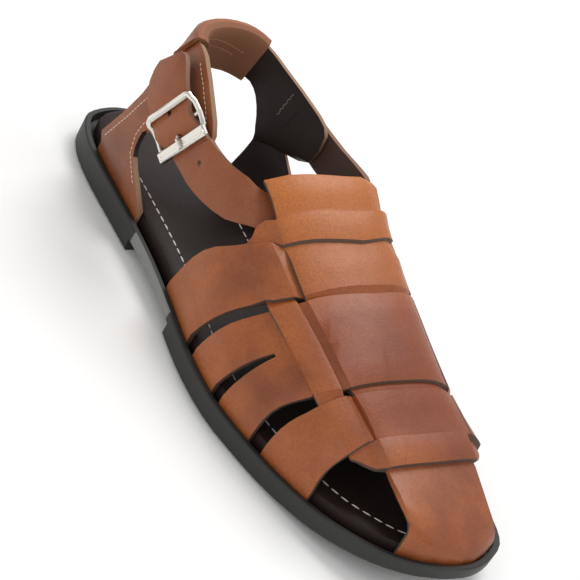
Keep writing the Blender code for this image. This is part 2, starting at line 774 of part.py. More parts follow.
def build_outsole(work):
    rings = [
        ring_points(EDGE_ROUND, bottom),
        ring_points(0.0, lambda along: bottom(along) + EDGE_ROUND),
        ring_points(0.0, lambda along: wall_top(along) - EDGE_ROUND / 2),
        ring_points(EDGE_ROUND / 2, wall_top),
        ring_points(LIP_WIDTH - EDGE_ROUND / 4, wall_top),
        ring_points(LIP_WIDTH, lambda along: wall_top(along) - LIP_DEPTH),
    ]
    loft(work, rings)


def build_footbed(work):
    edge = LIP_WIDTH + STRAP + 2 * GAP
    rings = [
        ring_points(edge + RIM_RADIUS / 2, slot_floor),
        ring_points(edge, lambda along: slot_floor(along) + RIM_RADIUS / 2),
        ring_points(edge, lambda along: footbed_top(along) - RIM_RADIUS),
        ring_points(edge + RIM_RADIUS * 0.3, lambda along: footbed_top(along) - RIM_RADIUS * 0.3),
        ring_points(edge + RIM_RADIUS, footbed_top),
        ring_points(edge + RIM_BAND, footbed_top),
        ring_points(edge + 2 * RIM_BAND, lambda along: footbed_top(along) - DISH),
    ]
    loft(work, rings)


def build_waist(work):
    """Cutter for the raised waist, with a slanting facet along both sides."""
    shares = np.linspace(HEEL_BREAST, TREAD_START, 9)
    rows = []
    for along in shares:
        lateral, medial = half_width(-1, along), half_width(1, along)
        high = WAIST_STEP + WAIST_FACET_RISE
        rows.append(
            [
                place(-lateral - WAIST_FACET, along, -WAIST_STEP),
                place(-lateral - WAIST_FACET, along, high + WAIST_FACET_RISE),
                place(-lateral + WAIST_FACET, along, WAIST_STEP),
                place(medial - WAIST_FACET, along, WAIST_STEP),
                place(medial + WAIST_FACET, along, high + WAIST_FACET_RISE),
                place(medial + WAIST_FACET, along, -WAIST_STEP),
            ]
        )
    loops = [[work.verts.new(point) for point in row] for row in rows]
    for lower, upper in zip(loops, loops[1:]):
        for index in range(6):
            after = (index + 1) % 6
            work.faces.new([lower[index], lower[after], upper[after], upper[index]])
    work.faces.new(loops[0])
    work.faces.new(loops[-1])


def build_grooves(work):
    """Cutters for the tread grooves, each following the sole's curve."""
    for first, last in (HEEL_GROOVES, BALL_GROOVES):
        count = max(1, round((last - first) * LENGTH / GROOVE_PITCH))
        for along in np.linspace(first, last, count):
            lateral = half_width(-1, along) - GROOVE_INSET
            medial = half_width(1, along) - GROOVE_INSET
            box = bmesh.ops.create_cube(work, size=1.0)["verts"]
            size = Vector((lateral + medial, GROOVE_WIDTH, 2 * GROOVE_DEPTH))
            slope = math.atan2(bottom(along + 0.01) - bottom(along - 0.01), 0.02 * LENGTH)
            centre = place((medial - lateral) / 2, along, bottom(along))
            turn = Matrix.Rotation(-slope, 4, "X")
            move = Matrix.Translation(Vector(centre)) @ turn @ Matrix.Diagonal(size).to_4x4()
            bmesh.ops.transform(work, matrix=move, verts=box)


def slot_row(side, ends, height):
    """A leg's rear and front points in the slot, outer face."""
    row = []
    for along in ends:
        x = side * (half_width(side, along) - LIP_WIDTH - GAP)
        row.append(place(x, along, height(along)))
    return row


def quarter_rows():
    """Rear and front points of every row of the quarter's outer face, several to a row of the table."""
    table = [(from_shares(*row[:3]), from_shares(*row[3:])) for row in QUARTER]
    rows = [slot_row(-1, LATERAL_LEG, slot_floor), slot_row(-1, LATERAL_LEG, footbed_top)]
    rows += smooth_pairs(table, QUARTER_STEPS)
    rows += [slot_row(1, MEDIAL_LEG, footbed_top), slot_row(1, MEDIAL_LEG, slot_floor)]
    return rows


def build_quarter(work):
    grid = [between(front, rear, QUARTER_ACROSS) for rear, front in quarter_rows()]
    for row, side in ((0, -1), (1, -1), (-2, 1), (-1, 1)):
        grid[row] = [slot_at(point, side) for point in grid[row]]
    ribbon(work, grid, STRAP)


def slot_at(point, side):
    """The same point moved across onto the outer wall of the slot."""
    along = 0.5 - point[1] / LENGTH
    return place(side * (half_width(side, along) - LIP_WIDTH - GAP), along, point[2])


def rounded_edge(middle, away, outward):
    """Three points round an edge, from its outer side over its tip to its inner side."""
    return [
        middle + (away + outward) * SLEEVE_ROUND,
        middle + away,
        middle + (away - outward) * SLEEVE_ROUND,
    ]


def build_sleeve(work):
    """Hollow leather tube round the back strap, with rounded upper and lower edges."""
    grid = np.array([between(front, rear, QUARTER_ACROSS) for rear, front in quarter_rows()])
    first, last = (2 + round(QUARTER_STEPS * row) for row in SLEEVE_ROWS)
    both = np.stack([grid, face_normals(grid)], axis=1)[first : last + 1]
    half = STRAP / 2 + GAP + SLEEVE_WALL
    outers, inners = [], []
    for row, out in both:
        upward = (row[0] - row[-1]) / np.linalg.norm(row[0] - row[-1])
        middle = row - out * STRAP / 2
        low = rounded_edge(middle[-1], -upward * (GAP + SLEEVE_EDGE), out[-1] * half)
        high = rounded_edge(middle[0], upward * (GAP + SLEEVE_EDGE), out[0] * half)
        skin, lining = middle + out * half, middle - out * half
        outers.append([*skin, *low, *lining[::-1], *high[::-1]])
        near = np.array([upward, *[upward * 0] * (len(row) - 2), -upward]) * GAP
        front, back = middle + out * (half - SLEEVE_WALL), middle - out * (half - SLEEVE_WALL)
        inners.append([*(front + near), *(back + near)[::-1]])
    loops = [[[work.verts.new(point) for point in ring] for ring in rings] for rings in (outers, inners)]
    join_loops(work, loops[0])
    join_loops(work, loops[1])
    for outer, inner in ((loops[0][0], loops[1][0]), (loops[0][-1], loops[1][-1])):
        cap_sleeve(work, outer, inner, len(QUARTER_ACROSS))


def cap_sleeve(work, outer, inner, count):
    """Faces between the outer and the hollow ring at one end. Each side has this many points."""
    for index in range(count - 1):
        for start, inside in ((index, index), (index + count + 3, index + count)):
            corners = [outer[start], outer[start + 1], inner[inside + 1], inner[inside]]
            work.faces.new(corners)
    for start, near, far in ((count - 1, count - 1, count), (2 * count + 2, -1, 0)):
        edge = [outer[(start + step) % len(outer)] for step in range(5)]
        work.faces.new([edge[0], edge[1], inner[near]])
        work.faces.new([edge[1], edge[2], inner[far], inner[near]])
        work.faces.new([edge[2], edge[3], inner[far]])
        work.faces.new([edge[3], edge[4], inner[far]])


def buckle_axes():
    """The buckle's middle, then its directions towards the tail, upwards and outwards."""
    outward = np.array([-math.cos(BUCKLE_YAW), -math.sin(BUCKLE_YAW), 0.0])
    level = np.array([-math.sin(BUCKLE_YAW), math.cos(BUCKLE_YAW), 0.0])
    tailward = level * math.cos(BUCKLE_PITCH) + np.array([0.0, 0.0, math.sin(BUCKLE_PITCH)])
    return from_shares(*BUCKLE_CENTRE), tailward, np.cross(tailward, outward), outward


def in_buckle(along, up, out):
    """A point given in shares of the buckle's length and width and metres outwards."""
    centre, tailward, upward, outward = buckle_axes()
    return centre + tailward * along * BUCKLE_LENGTH + upward * up * BUCKLE_WIDTH + outward * out


def strap_rows():
    """Lower and upper points of every row of the ankle strap's outer face, medial end first."""
    rows = [(from_shares(*row[:3]), from_shares(*row[3:])) for row in STRAP_MEDIAL]
    for across, lower, upper in STRAP_UNDER_LOOP:
        pair = [over_last(s, run_at(s, across * BALL_WIDTH), -STRAP_SINK) for s in (lower, upper)]
        rows.append(tuple(pair))
    rows += [(from_shares(*row[:3]), from_shares(*row[3:])) for row in STRAP_LATERAL]
    for along, lower, upper, height in STRAP_IN_BUCKLE:
        rows.append((in_buckle(along, lower, height * STRAP), in_buckle(along, upper, height * STRAP)))
    rows += [(from_shares(*row[:3]), from_shares(*row[3:])) for row in STRAP_TAIL]
    return rows


def smooth_pairs(pairs, steps):
    """The same rows of two points with more rows between them."""
    flat = smooth([np.concatenate(pair) for pair in pairs], steps)
    return [(row[:3], row[3:]) for row in flat]


def build_strap(work):
    rows = strap_rows()
    free = len(STRAP_MEDIAL) + len(STRAP_UNDER_LOOP) + len(STRAP_LATERAL)
    rows = smooth_pairs(rows[:free], 2) + rows[free:]
    ribbon(work, [between(upper, lower, STRAP_ACROSS) for lower, upper in rows], STRAP)


def rod(work, points, radius, sides=8):
    """A round bar through the points, closed at both ends."""
    points = np.asarray(points)
    rings = []
    for index, point in enumerate(points):
        ahead = points[min(index + 1, len(points) - 1)] - points[max(index - 1, 0)]
        rings.append(circle(point, ahead, radius, sides))
    loops = [[work.verts.new(corner) for corner in ring] for ring in rings]
    join_loops(work, loops)
    work.faces.new(loops[0])
    work.faces.new(loops[-1])


def circle(point, ahead, radius, sides):
    """Corners of a ring round the point, square to the way ahead."""
    ahead = ahead / np.linalg.norm(ahead)
    outward = buckle_axes()[3]
    if abs(ahead.dot(outward)) > 0.9:
        outward = buckle_axes()[2]
    first = outward - ahead * ahead.dot(outward)
    first /= np.linalg.norm(first)
    second = np.cross(ahead, first)
    turns = [2 * math.pi * (corner + 0.5) / sides for corner in range(sides)]
    return [point + (first * math.cos(turn) + second * math.sin(turn)) * radius for turn in turns]


def join_loops(work, loops, closed=False):
    pairs = list(zip(loops, loops[1:]))
    if closed:
        pairs.append((loops[-1], loops[0]))
    for lower, upper in pairs:
        for index in range(len(lower)):
            after = (index + 1) % len(lower)
            work.faces.new([lower[index], lower[after], upper[after], upper[index]])


def frame_path():
    """The middle line of the buckle's round bars, with its sides bowed towards the foot."""
    half_length = 0.5 - REAR_BAR / BUCKLE_LENGTH
    half_width = 0.5 - SIDE_BAR / BUCKLE_WIDTH
    corner = (BUCKLE_CORNER / BUCKLE_LENGTH, BUCKLE_CORNER / BUCKLE_WIDTH)
    points = []
    for way, up in ((1, 1), (-1, 1), (-1, -1), (1, -1)):
        turns = (90, 45, 0) if way * up > 0 else (0, 45, 90)
        for turn in map(math.radians, turns):
            points.append(
                (
                    way * (half_length - corner[0] * (1 - math.sin(turn))),
                    up * (half_width - corner[1] * (1 - math.cos(turn))),
                    0.0,
                )
            )
        if way * up > 0:
            side = up * half_width
            points += [(way * 0.25, side, 0.7), (0.0, side, 1.0), (-way * 0.25, side, 0.7)]
    return [in_buckle(along, up, -bow * BUCKLE_BOW) for along, up, bow in points]


def build_frame(work):
    points = frame_path()
    loops = []
    for index, point in enumerate(points):
        ahead = points[(index + 1) % len(points)] - points[index - 1]
        rear = abs((point - buckle_axes()[0]).dot(buckle_axes()[1])) > 0.4 * BUCKLE_LENGTH
        radius = REAR_BAR if rear else SIDE_BAR
        loops.append([work.verts.new(corner) for corner in circle(point, ahead, radius, 8)])
    join_loops(work, loops, closed=True)


def build_front_bar(work):
    """The broad front bar, as a bevelled block."""
    centre, tailward, upward, outward = buckle_axes()
    middle = centre - tailward * (BUCKLE_LENGTH - FRONT_BAR_WIDTH) / 2
    box = bmesh.ops.create_cube(work, size=1.0)["verts"]
    columns = [tailward * FRONT_BAR_WIDTH, upward * BUCKLE_WIDTH, outward * FRONT_BAR_HEIGHT]
    turn = Matrix([[*row, 0.0] for row in np.array(columns).T] + [[0.0, 0.0, 0.0, 1.0]])
    bmesh.ops.transform(work, matrix=Matrix.Translation(Vector(middle)) @ turn, verts=box)
    bmesh.ops.bevel(
        work, geom=list(work.edges), offset=FRONT_BAR_HEIGHT / 4, segments=1,
        affect="EDGES", profile=0.5, material=-1,
    )


def build_centre_bar(work):
    half = 0.5 - SIDE_BAR / BUCKLE_WIDTH
    rod(work, [in_buckle(0.0, -half, -BUCKLE_BOW), in_buckle(0.0, half, -BUCKLE_BOW)], CENTRE_BAR)


def build_prong(work):
    rod(work, [in_buckle(along, 0.0, height * STRAP) for along, height in PRONG], PRONG_RADIUS)


def build_holes(work):
    for along, up in HOLES:
        ends = [in_buckle(along, up, side * 4 * STRAP) for side in (-1, 1)]
        rod(work, ends, HOLE_RADIUS, 12)


PARTS = {
    # name: colour, metallic, roughness
    "outsole": ((0.055, 0.055, 0.050), 0.0, 0.65),
    "footbed": ((0.042, 0.024, 0.020), 0.0, 0.42),
    "upper": ((0.520, 0.190, 0.075), 0.0, 0.45),
    "quarter": ((0.470, 0.170, 0.070), 0.0, 0.45),
    "heel_sleeve": ((0.300, 0.120, 0.060), 0.0, 0.60),
    "ankle_strap": ((0.500, 0.180, 0.075), 0.0, 0.45),
    "buckle_frame": ((0.620, 0.600, 0.560), 1.0, 0.28),
    "buckle_prong": ((0.620, 0.600, 0.560), 1.0, 0.28),
}


def give_material(obj):
    colour, metallic, roughness = PARTS[obj.name]
    material = bpy.data.materials.new(obj.name)
    material.use_nodes = True
    shader = material.node_tree.nodes["Principled BSDF"]
    shader.inputs["Base Color"].default_value = (*colour, 1.0)
    shader.inputs["Metallic"].default_value = metallic
    shader.inputs["Roughness"].default_value = roughness
    obj.data.materials.append(material)


def boolean(obj, other, operation):
    """Joins or cuts with the exact solver and leaves the other object out of the render."""
    modifier = obj.modifiers.new(other.name, "BOOLEAN")
    modifier.operation = operation
    modifier.solver = "EXACT"
    modifier.object = other


def clear_scene():
    for obj in list(bpy.data.objects):
        bpy.data.objects.remove(obj)


def add_collection(name, hidden):
    collection = bpy.data.collections.new(name)
    collection.hide_render = hidden
    bpy.context.scene.collection.children.link(collection)
    return collection


def add_tool(name, build, tools):
    tool = mesh_object(name, build, tools)
    tool.display_type = "WIRE"
    tool.hide_render = True
    return tool


def main():
    clear_scene()
    shoe = add_collection("fisherman_sandal", False)
    tools = add_collection("fisherman_sandal_tools", True)
    outsole = mesh_object("outsole", build_outsole, shoe)
    boolean(outsole, add_tool("waist_cut", build_waist, tools), "DIFFERENCE")
    boolean(outsole, add_tool("groove_cut", build_grooves, tools), "DIFFERENCE")
    footbed = mesh_object("footbed", build_footbed, shoe)
    upper = mesh_object("upper", build_weave, shoe)
    boolean(upper, add_tool("toe_fold", build_toe, tools), "UNION")
    boolean(upper, add_tool("instep_loop", build_loop, tools), "UNION")
    quarter = mesh_object("quarter", build_quarter, shoe)
    sleeve = mesh_object("heel_sleeve", build_sleeve, shoe)
    strap = mesh_object("ankle_strap", build_strap, shoe)
    boolean(strap, add_tool("hole_cut", build_holes, tools), "DIFFERENCE")
    frame = mesh_object("buckle_frame", build_frame, shoe)
    boolean(frame, add_tool("front_bar", build_front_bar, tools), "UNION")
    boolean(frame, add_tool("centre_bar", build_centre_bar, tools), "UNION")
    prong = mesh_object("buckle_prong", build_prong, shoe)
    for obj in (outsole, footbed, upper, quarter, sleeve, strap, frame, prong):
        give_material(obj)


main()
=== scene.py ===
"""Looks of a fisherman sandal: leather, stitches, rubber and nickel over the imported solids.

Laid out as a Blender add-on. Each operator dresses one group of pieces, and the last one sets the
camera, the floor and the lights.
"""

import math

import bmesh
import bpy
from bpy.props import FloatProperty, FloatVectorProperty, PointerProperty
from mathutils import Matrix, Vector
from mathutils.bvhtree import BVHTree


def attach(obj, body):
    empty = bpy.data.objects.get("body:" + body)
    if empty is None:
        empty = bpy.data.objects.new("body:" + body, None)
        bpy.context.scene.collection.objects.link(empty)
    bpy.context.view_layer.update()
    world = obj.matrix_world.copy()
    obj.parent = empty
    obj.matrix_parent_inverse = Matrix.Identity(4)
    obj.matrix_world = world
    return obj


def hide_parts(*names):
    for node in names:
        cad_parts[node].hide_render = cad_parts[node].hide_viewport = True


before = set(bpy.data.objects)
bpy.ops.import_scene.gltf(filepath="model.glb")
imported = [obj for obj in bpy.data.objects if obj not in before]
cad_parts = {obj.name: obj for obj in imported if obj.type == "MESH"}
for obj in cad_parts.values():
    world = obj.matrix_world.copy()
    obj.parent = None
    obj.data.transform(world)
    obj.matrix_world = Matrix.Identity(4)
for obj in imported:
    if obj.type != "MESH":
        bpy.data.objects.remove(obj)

bl_info = {
    "name": "Fisherman sandal",
    "version": (1, 0, 0),
    "blender": (4, 5, 0),
    "location": "View3D > Sidebar > Sandal",
    "description": "Dresses a fisherman sandal with leather, stitches, rubber and nickel",
    "category": "Object",
}

MILLIMETRE = 0.001
# Points nearer to each other than this are one
MERGE = 1e-6
# Faces of a CAD node that lie in one plane within this angle become one face
SAME_PLANE = math.radians(0.05)
# Where the sole's waist lies along the sandal, from the ball to the heel's front; its wall gets
# painted floor light
WAIST = (0.008, 0.062)
# Waist faces that get the painted floor light point outwards by at least this much and lie at least
# this far from the middle line
WAIST_OUTWARD = 0.4
WAIST_APART = 0.02
# Edges sharper than these angles are rounded, on leather and nickel and on the rubber
SHARP = math.radians(55.0)
RUBBER_SHARP = math.radians(60.0)
# Rounding of the rubber's and the nickel's edges as a share of the leather's
RUBBER_ROUND = 0.7
NICKEL_ROUND = 0.5
# How far the plated bars stand proud of the bare ones
PLATING = 0.3 * MILLIMETRE
# The foot's middle line: across, its toe end along the sandal, and up
FOOT_LINE = (0.002, -0.105, 0.016)
# The ankle's upright middle line: across, and its front and rear ends along the sandal
ANKLE_LINE = (0.002, 0.030, 0.062)
# Where the footbed's middle line starts and stops along the sandal, and its step, in millimetres
FOOTBED_SPINE = (-104, 109, 4)
# Steps of the half circle of rays at each end of that line
FOOTBED_TURNS = 24
# Rays that find a surface start above the sandal, beside it, or in front of the sleeve
RAY_HEIGHT = 0.2
RAY_SIDE = -0.08
RAY_SLEEVE = 0.07
# The lateral quarter lies at least this far across, which leaves out the back strap's inner face
QUARTER_SIDE = -0.02
# Thickness of a stitch on the leather as a share of its width
STITCH_HEIGHT = 0.7
# Where the burnished tones begin and end along the sandal, and how far the clouds shift them
CLOUD_SHIFT = 0.03
INSTEP_FADE = (-0.030, 0.035)
BALL_REAR = (-0.014, -0.032)
BALL_FRONT = (-0.100, -0.070)
# The lateral edge of the wide strip, where these tones end across the sandal
STRIP_SIDE = (-0.031, -0.019)
# Most of the lighter tone at the instep and of the darker one at the ball
TONE_MOST = (0.72, 0.62)

# Stitch lines on the lateral quarter, as metres along the sandal and up, seen from the side
QUARTER_LINES = {
    "rear_edge": ((0.1122, 0.0250), (0.1085, 0.0335), (0.1050, 0.0415), (0.1022, 0.0495),
                  (0.1000, 0.0560), (0.0985, 0.0605), (0.0972, 0.0650), (0.0958, 0.0700)),
    "leg_front": ((0.0790, 0.0250), (0.0895, 0.0325), (0.0930, 0.0405), (0.0920, 0.0480)),
    "top_edge": ((0.0545, 0.0610), (0.0545, 0.0700), (0.0630, 0.0785), (0.0720, 0.0845),
                 (0.0812, 0.0895)),
}

# Zigzag and stitched box on the inside of the medial tab, as metres along the sandal and up
TAB_ZIGZAG = ((0.0848, 0.0627), (0.0840, 0.0642), (0.0846, 0.0657), (0.0836, 0.0672),
              (0.0842, 0.0687), (0.0832, 0.0702), (0.0838, 0.0717), (0.0828, 0.0732),
              (0.0832, 0.0747), (0.0824, 0.0760))
TAB_BOX = ((0.0848, 0.0604), (0.0788, 0.0586), (0.0763, 0.0732), (0.0820, 0.0752))
# Stitch lines on the inside of the heel sleeve, as metres across the sandal and up
SLEEVE_LINES = (
    ((-0.0100, 0.0880), (-0.0020, 0.0858), (0.0060, 0.0832), (0.0130, 0.0808), (0.0190, 0.0786)),
    ((-0.0080, 0.0835), (0.0000, 0.0812), (0.0080, 0.0785), (0.0150, 0.0762)),
)

# Where the camera aims, and how far that is off the picture's centre to the right and upwards
AIM = (0.00235, 0.0, 0.040)
AIM_OFF_CENTRE = (0.00234, 0.0059)
# Width of the camera's sensor in millimetres
SENSOR = 36.0
# Name, place, power in watts and side in metres of each lamp
LIGHTS = (
    ("key", (0.75, 0.55, 1.5), 17.0, 1.0),
    ("fill", (0.6, -1.2, 1.2), 3.5, 1.2),
    ("side", (-1.3, -0.5, 0.7), 3.2, 0.9),
)
# Strength of the white surroundings
WORLD_STRENGTH = 0.56

# Inputs of a Mix node that mixes two colours, and its output
FACTOR, FIRST, SECOND = 0, 6, 7
MIXED = 2


def linear(code):
    """An sRGB hex colour as linear RGBA."""
    values = [int(code[place : place + 2], 16) / 255 for place in (1, 3, 5)]
    values = [v / 12.92 if v <= 0.04045 else ((v + 0.055) / 1.055) ** 2.4 for v in values]
    return (*values, 1.0)


def colour_choice(label, description, code):
    """A colour that a user can change, with an sRGB hex code as its default."""
    return FloatVectorProperty(
        name=label, description=description, default=linear(code),
        size=4, min=0.0, max=1.0, subtype="COLOR",
    )


class SandalColours(bpy.types.PropertyGroup):
    """Colours of the leather, the rubber, the nickel and the threads."""

    cognac: colour_choice("Cognac", "Main colour of the woven straps", "#B2632F")
    deep: colour_choice("Deep cognac", "Darker patches of the woven straps", "#924C26")
    burnished: colour_choice("Burnished", "Darkest clouds of the woven straps", "#602D18")
    instep: colour_choice("Instep", "Lighter tone of the wide strip at the instep", "#CF7A33")
    ball: colour_choice("Ball", "Darker tone of the wide strip over the ball", "#7C361B")
    quarter: colour_choice("Quarter", "Main colour of the quarter", "#A25B2F")
    sleeve: colour_choice("Sleeve", "Main colour of the heel sleeve", "#AC6433")
    ankle_strap: colour_choice("Ankle strap", "Main colour of the ankle strap", "#A15A30")
    footbed: colour_choice("Footbed", "Main colour of the footbed's leather", "#2B1C17")
    rubber: colour_choice("Rubber", "Colour of the moulded sole", "#262624")
    nickel: colour_choice("Nickel", "Colour of the buckle's plate", "#E3DFD6")
    footbed_thread: colour_choice("Footbed thread", "Colour of the waxed thread", "#D8D2C8")
    quarter_thread: colour_choice("Quarter thread", "Colour of the sewing thread", "#E2D9CC")


class SandalLeather(bpy.types.PropertyGroup):
    """Sizes of the leather's surface."""

    edge_round: FloatProperty(
        name="Edge round", description="Rounding of the cut leather edges",
        default=0.45 * MILLIMETRE, subtype="DISTANCE", unit="LENGTH",
    )
    # Real pores are finer, and are drawn as coarse as this so that they show
    grain: FloatProperty(
        name="Grain", description="Size of one grain of the leather",
        default=0.75 * MILLIMETRE, subtype="DISTANCE", unit="LENGTH",
    )
    shade: FloatProperty(
        name="Shade patch", description="Size of the burnished patches",
        default=38.0 * MILLIMETRE, subtype="DISTANCE", unit="LENGTH",
    )
    smooth_angle: FloatProperty(
        name="Smooth angle", description="Edges flatter than this are shaded smooth",
        default=math.radians(38.0), subtype="ANGLE", unit="ROTATION",
    )


class SandalStitches(bpy.types.PropertyGroup):
    """Sizes of the sewn lines."""

    footbed_inset: FloatProperty(
        name="Footbed inset", description="Distance of the footbed's stitch line from its rim",
        default=8.6 * MILLIMETRE, subtype="DISTANCE", unit="LENGTH",
    )
    footbed_pitch: FloatProperty(
        name="Footbed pitch", description="Distance from one footbed stitch to the next",
        default=5.2 * MILLIMETRE, subtype="DISTANCE", unit="LENGTH",
    )
    footbed_thread: FloatProperty(
        name="Footbed thread", description="Thickness of the footbed's thread",
        default=0.9 * MILLIMETRE, subtype="DISTANCE", unit="LENGTH",
    )
    quarter_pitch: FloatProperty(
        name="Quarter pitch", description="Distance from one quarter stitch to the next",
        default=2.2 * MILLIMETRE, subtype="DISTANCE", unit="LENGTH",
    )
    quarter_thread: FloatProperty(
        name="Quarter thread", description="Thickness of the quarter's thread",
        default=0.5 * MILLIMETRE, subtype="DISTANCE", unit="LENGTH",
    )
    tab_pitch: FloatProperty(
        name="Tab pitch", description="Distance from one stitch of the medial tab to the next",
        default=1.2 * MILLIMETRE, subtype="DISTANCE", unit="LENGTH",
    )
    share: FloatProperty(
        name="Stitch share", description="Length of a stitch as a share of the pitch",
        default=0.78, min=0.1, max=1.0,
    )


class SandalStage(bpy.types.PropertyGroup):
    """Where the camera and the lights stand."""

    azimuth: FloatProperty(
        name="Azimuth", description="Turn of the camera round the sandal",
        default=math.radians(-50.26), subtype="ANGLE", unit="ROTATION",
    )
    elevation: FloatProperty(
        name="Elevation", description="Angle of the camera above the floor",
        default=math.radians(30.99), subtype="ANGLE", unit="ROTATION",
    )
    roll: FloatProperty(
        name="Roll", description="Turn of the picture about the line of sight",
        default=math.radians(31.01), subtype="ANGLE", unit="ROTATION",
    )
    distance: FloatProperty(
        name="Distance", description="Distance from the camera to its target",
        default=0.8398, subtype="DISTANCE", unit="LENGTH",
    )
    lens: FloatProperty(
        name="Lens", description="Focal length in millimetres", default=121.5, min=10.0,
    )
    floor_size: FloatProperty(
        name="Floor size", description="Side of the floor",
        default=6.0, subtype="DISTANCE", unit="LENGTH",
    )


def add_node(tree, kind, inputs=None, **settings):
    """A node with these settings, its inputs set to values or linked to sockets."""
    made = tree.nodes.new(kind)
    for name, value in settings.items():
        setattr(made, name, value)
    for name, value in (inputs or {}).items():
        if isinstance(value, bpy.types.NodeSocket):
            tree.links.new(value, made.inputs[name])
        else:
            made.inputs[name].default_value = value
    return made


def new_material(name):
    """An empty node material and its shader."""
    material = bpy.data.materials.new(name)
    material.use_nodes = True
    tree = material.node_tree
    return material, tree, tree.nodes["Principled BSDF"]


def burnished_by_place(tree, where, clouds, colour, tone):
    """The colour turned lighter towards the instep and darker over the ball, on the wide strip."""
    split = add_node(tree, "ShaderNodeSeparateXYZ", {"Vector": where}).outputs
    spread = add_node(tree, "ShaderNodeMath", {0: clouds, 1: CLOUD_SHIFT}, operation="MULTIPLY")
    along = add_node(tree, "ShaderNodeMath", {0: split["Y"], 1: spread.outputs[0]}, operation="ADD")
    strip = add_node(tree, "ShaderNodeMapRange", {
        "Value": split["X"], "From Min": STRIP_SIDE[0], "From Max": STRIP_SIDE[1]})
    instep = add_node(tree, "ShaderNodeMapRange", {
        "Value": along.outputs[0], "From Min": INSTEP_FADE[0], "From Max": INSTEP_FADE[1],
        "To Max": TONE_MOST[0]})
    lighter = add_node(tree, "ShaderNodeMath", {0: instep.outputs[0], 1: strip.outputs[0]},
                       operation="MULTIPLY")
    behind = add_node(tree, "ShaderNodeMapRange", {
        "Value": along.outputs[0], "From Min": BALL_REAR[0], "From Max": BALL_REAR[1],
        "To Max": TONE_MOST[1]})
    ahead = add_node(tree, "ShaderNodeMapRange", {
        "Value": along.outputs[0], "From Min": BALL_FRONT[0], "From Max": BALL_FRONT[1]})
    ball = add_node(tree, "ShaderNodeMath", {0: behind.outputs[0], 1: ahead.outputs[0]},
                    operation="MULTIPLY")
    darker = add_node(tree, "ShaderNodeMath", {0: ball.outputs[0], 1: strip.outputs[0]},
                      operation="MULTIPLY")
    for amount, shade in ((lighter, tone[0]), (darker, tone[1])):
        colour = add_node(tree, "ShaderNodeMix", {
            FACTOR: amount.outputs[0], FIRST: colour, SECOND: shade},
            data_type="RGBA").outputs[MIXED]
    return colour


def leather(name, light, deep, burnished, roughness=0.45, coat=0.1, relief=0.5, gloss=0.4,
            tone=None):
    """Grained leather: patches of two browns, darker burnished clouds, pores and a soft wax gloss.

    A tone of two colours adds the hand-burnished change from the instep to the ball of the foot.
    """
    look = bpy.context.scene.sandal_leather
    material, tree, shader = new_material(name)
    where = add_node(tree, "ShaderNodeTexCoord").outputs["Object"]
    # Clouds as wide as a patch, finer mottling, pores as wide as a grain, creases and flecks
    clouds = add_node(tree, "ShaderNodeTexNoise", {
        "Vector": where, "Scale": 1 / look.shade, "Detail": 5.0, "Roughness": 0.55})
    mottle = add_node(tree, "ShaderNodeTexNoise", {
        "Vector": where, "Scale": 6 / look.shade, "Detail": 6.0, "Roughness": 0.7})
    pores = add_node(tree, "ShaderNodeTexVoronoi", {
        "Vector": where, "Scale": 1 / look.grain, "Randomness": 1.0})
    creases = add_node(tree, "ShaderNodeTexNoise", {
        "Vector": where, "Scale": 0.22 / look.grain, "Detail": 8.0, "Roughness": 0.65,
        "Distortion": 1.2})
    flecks = add_node(tree, "ShaderNodeTexNoise", {
        "Vector": where, "Scale": 0.8 / look.grain, "Detail": 4.0, "Roughness": 0.8})
    fleck = add_node(tree, "ShaderNodeMapRange", {
        "Value": flecks.outputs["Fac"], "From Min": 0.46, "From Max": 0.72, "To Max": 0.5})
    patch = add_node(tree, "ShaderNodeMapRange", {
        "Value": clouds.outputs["Fac"], "From Min": 0.36, "From Max": 0.68})
    speck = add_node(tree, "ShaderNodeMapRange", {
        "Value": mottle.outputs["Fac"], "From Min": 0.3, "From Max": 0.75,
        "To Max": 0.55})
    burn = add_node(tree, "ShaderNodeMapRange", {
        "Value": clouds.outputs["Fac"], "From Min": 0.53, "From Max": 0.80, "To Max": 0.55})
    colour = light
    for amount, shade in ((patch, deep), (speck, deep), (burn, burnished)):
        colour = add_node(tree, "ShaderNodeMix", {
            FACTOR: amount.outputs[0], FIRST: colour, SECOND: shade},
            data_type="RGBA").outputs[MIXED]
    if tone:
        colour = burnished_by_place(tree, where, clouds.outputs["Fac"], colour, tone)
    colour = add_node(tree, "ShaderNodeMix", {
        FACTOR: fleck.outputs[0], FIRST: colour, SECOND: burnished},
        data_type="RGBA").outputs[MIXED]
    tree.links.new(colour, shader.inputs["Base Color"])
    wear = add_node(tree, "ShaderNodeMapRange", {
        "Value": mottle.outputs["Fac"], "To Min": roughness - 0.06, "To Max": roughness + 0.1})
    tree.links.new(wear.outputs[0], shader.inputs["Roughness"])
    grain = add_node(tree, "ShaderNodeBump", {
        "Height": pores.outputs["Distance"], "Strength": relief,
        "Distance": 0.08 * MILLIMETRE})
    folds = add_node(tree, "ShaderNodeBump", {
        "Height": creases.outputs["Fac"], "Strength": relief, "Distance": 0.35 * MILLIMETRE,
        "Normal": grain.outputs["Normal"]})
    tree.links.new(folds.outputs["Normal"], shader.inputs["Normal"])
    shader.inputs["IOR"].default_value = 1.5
    shader.inputs["Specular IOR Level"].default_value = gloss
    shader.inputs["Coat Weight"].default_value = coat
    shader.inputs["Coat Roughness"].default_value = 0.32
    return material


